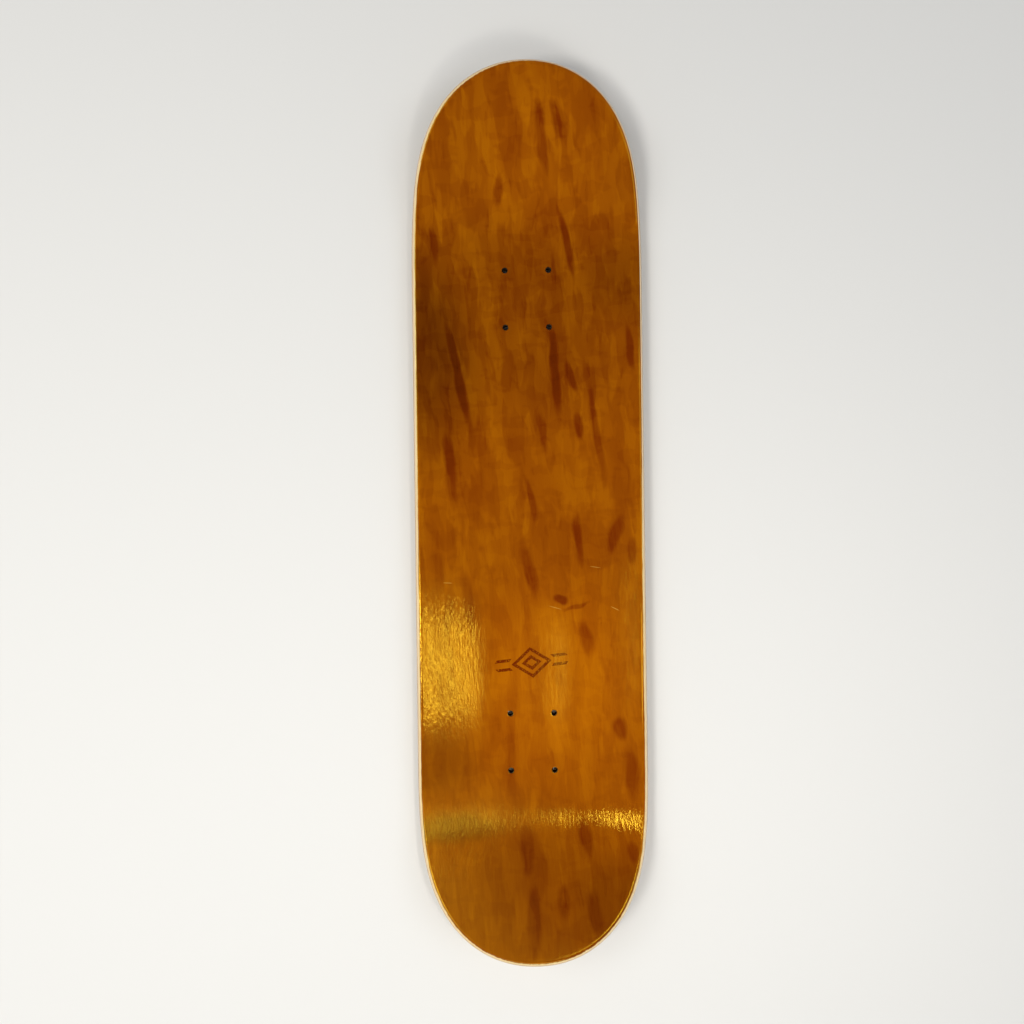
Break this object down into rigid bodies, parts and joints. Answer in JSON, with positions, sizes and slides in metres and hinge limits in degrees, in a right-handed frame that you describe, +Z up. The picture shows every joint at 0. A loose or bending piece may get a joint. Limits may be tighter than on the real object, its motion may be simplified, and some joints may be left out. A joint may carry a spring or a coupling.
{
  "type": "skateboard deck",
  "caption": "Bare popsicle-shaped skateboard deck of laminated maple with a stained top, dished between upturned nose and tail, drilled for two trucks.",
  "frame": {"origin": "bottom centre of the bounding box: on the surface the belly rests on, under the board's centre line, midway between nose and tail tips", "axes": "+Y towards the nose, +Z up out of the standing side, +X to the right of a rider who faces the nose"},
  "size_m": [0.2164, 0.8202, 0.0592],
  "materials": {
    "stained_top_face": "amber-brown stain under satin lacquer",
    "long_grain_core": "sanded, sealed with clear lacquer",
    "crossband_core": "sanded end grain, sealed with clear lacquer",
    "lacquered_bottom_face": "clear satin lacquer"
  },
  "bodies": {
    "root": {"top_face_veneer": "stained_top_face", "upper_core_veneer": "long_grain_core", "upper_crossband_veneer": "crossband_core", "middle_core_veneer": "long_grain_core", "lower_crossband_veneer": "crossband_core", "lower_core_veneer": "long_grain_core", "bottom_face_veneer": "lacquered_bottom_face"}
  },
  "joints": []
}
